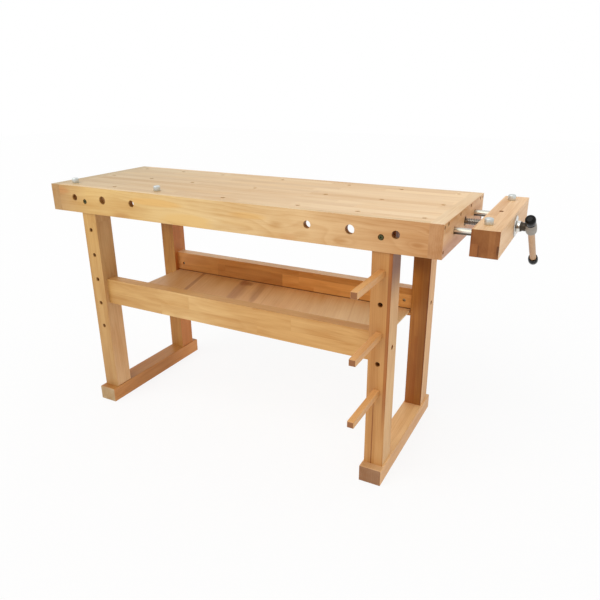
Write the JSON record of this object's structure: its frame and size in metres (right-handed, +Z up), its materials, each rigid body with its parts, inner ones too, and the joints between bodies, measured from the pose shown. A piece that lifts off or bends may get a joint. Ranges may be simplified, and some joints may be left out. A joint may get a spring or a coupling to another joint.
{
  "type": "woodworking bench with end vise",
  "caption": "Hardwood workbench on two leg frames with long feet, with dog holes, a long shelf between rails, peg holes in the front legs and a screw-driven end vise.",
  "frame": {"origin": "on the floor, below the middle of the whole part's bounding box", "axes": "+X along the bench towards the end vise, +Y from the front apron to the back, +Z up"},
  "size_m": [1.705, 0.732, 0.898],
  "materials": {
    "apron_wood": "oiled flat-sawn hardwood, golden, with cathedral grain and small knots",
    "top_wood": "oiled hardwood staves glued along the length, pale",
    "beam_wood": "oiled hardwood, end grain at both ends",
    "leg_wood": "oiled laminated hardwood with upright glue lines",
    "foot_wood": "oiled hardwood, end grain at both ends",
    "rail_wood": "oiled hardwood staves with butt joints",
    "shelf_plywood": "thin plywood, brownish, grain across the bench",
    "peg_wood": "oiled hardwood",
    "jaw_wood": "oiled laminated hardwood, dark end grain",
    "handle_wood": "turned and sanded hardwood",
    "zinc_steel": "yellow zinc-plated steel",
    "bright_steel": "ground and polished steel",
    "dog_steel": "light satin steel",
    "dark_steel": "oiled dark steel",
    "cast_metal": "grey casting, lightly cleaned",
    "black_plastic": "glossy black moulding"
  },
  "bodies": {
    "bench": {"worktop_slab": "top_wood", "front_apron": "apron_wood", "rear_apron": "apron_wood", "left_end_beam": "beam_wood", "right_end_beam": "beam_wood", "end_beam_bolts": "zinc_steel", "end_beam_screws": "zinc_steel", "apron_bolts": "zinc_steel", "apron_nuts": "zinc_steel", "front_left_leg": "leg_wood", "front_right_leg": "leg_wood", "rear_left_leg": "leg_wood", "rear_right_leg": "leg_wood", "left_foot": "foot_wood", "right_foot": "foot_wood", "front_rail": "rail_wood", "rear_rail": "rail_wood", "rail_bolts": "zinc_steel", "rail_barrel_nuts": "zinc_steel", "shelf_panel": "shelf_plywood", "front_shelf_cleat": "rail_wood", "rear_shelf_cleat": "rail_wood", "cleat_screws": "zinc_steel", "vise_guide_plate": "cast_metal", "guide_plate_screws": "zinc_steel"},
    "jaw": {"vise_jaw": "jaw_wood", "front_guide_rod": "bright_steel", "rear_guide_rod": "bright_steel", "rod_tie_plate": "dark_steel", "rod_nuts": "zinc_steel", "vise_flange": "bright_steel", "flange_screws": "zinc_steel"},
    "screw": {"lead_screw": "dark_steel", "screw_ring": "dark_steel", "thrust_collar": "bright_steel", "handle_hub": "cast_metal", "hub_grub_screw": "dark_steel"},
    "handle": {"handle_shaft": "handle_wood", "upper_handle_cap": "black_plastic", "lower_handle_cap": "black_plastic"},
    "left_dog": {"left_bench_dog": "dog_steel"},
    "middle_dog": {"middle_bench_dog": "dog_steel"},
    "front_dog_of_jaw": {"front_jaw_dog": "dog_steel"},
    "rear_dog_of_jaw": {"rear_jaw_dog": "dog_steel"},
    "upper_peg_body": {"upper_peg": "peg_wood"},
    "middle_peg_body": {"middle_peg": "peg_wood"},
    "lower_peg_body": {"lower_peg": "peg_wood"}
  },
  "joints": [
    {"name": "jaw_slide", "type": "slide", "parent": "bench", "child": "jaw", "axis": [1, 0, 0], "range_m": [-0.0705, 0.083]},
    {"name": "screw_turn", "type": "hinge", "parent": "jaw", "child": "screw", "pos_m": [0.7925, 0.089, 0.837], "axis": [1, 0, 0], "range_deg": [-5076, 5976]},
    {"name": "handle_slide", "type": "slide", "parent": "screw", "child": "handle", "axis": [0, -0.7934, 0.6088], "range_m": [0, 0.2015]},
    {"name": "left_dog_lift", "type": "slide", "parent": "bench", "child": "left_dog", "axis": [0, 0, 1], "range_m": [0, 0.061]},
    {"name": "middle_dog_lift", "type": "slide", "parent": "bench", "child": "middle_dog", "axis": [0, 0, 1], "range_m": [0, 0.061]},
    {"name": "front_jaw_dog_lift", "type": "slide", "parent": "jaw", "child": "front_dog_of_jaw", "axis": [0, 0, 1], "range_m": [0, 0.061]},
    {"name": "rear_jaw_dog_lift", "type": "slide", "parent": "jaw", "child": "rear_dog_of_jaw", "axis": [0, 0, 1], "range_m": [0, 0.061]},
    {"name": "upper_peg_pull", "type": "slide", "parent": "bench", "child": "upper_peg_body", "axis": [0, -1, 0], "range_m": [0, 0.041]},
    {"name": "middle_peg_pull", "type": "slide", "parent": "bench", "child": "middle_peg_body", "axis": [0, -1, 0], "range_m": [0, 0.041]},
    {"name": "lower_peg_pull", "type": "slide", "parent": "bench", "child": "lower_peg_body", "axis": [0, -1, 0], "range_m": [0, 0.041]}
  ],
  "couplings": [
    {"joint": "jaw_slide", "follows": "screw_turn", "m_per_rad": 0.00079577}
  ]
}
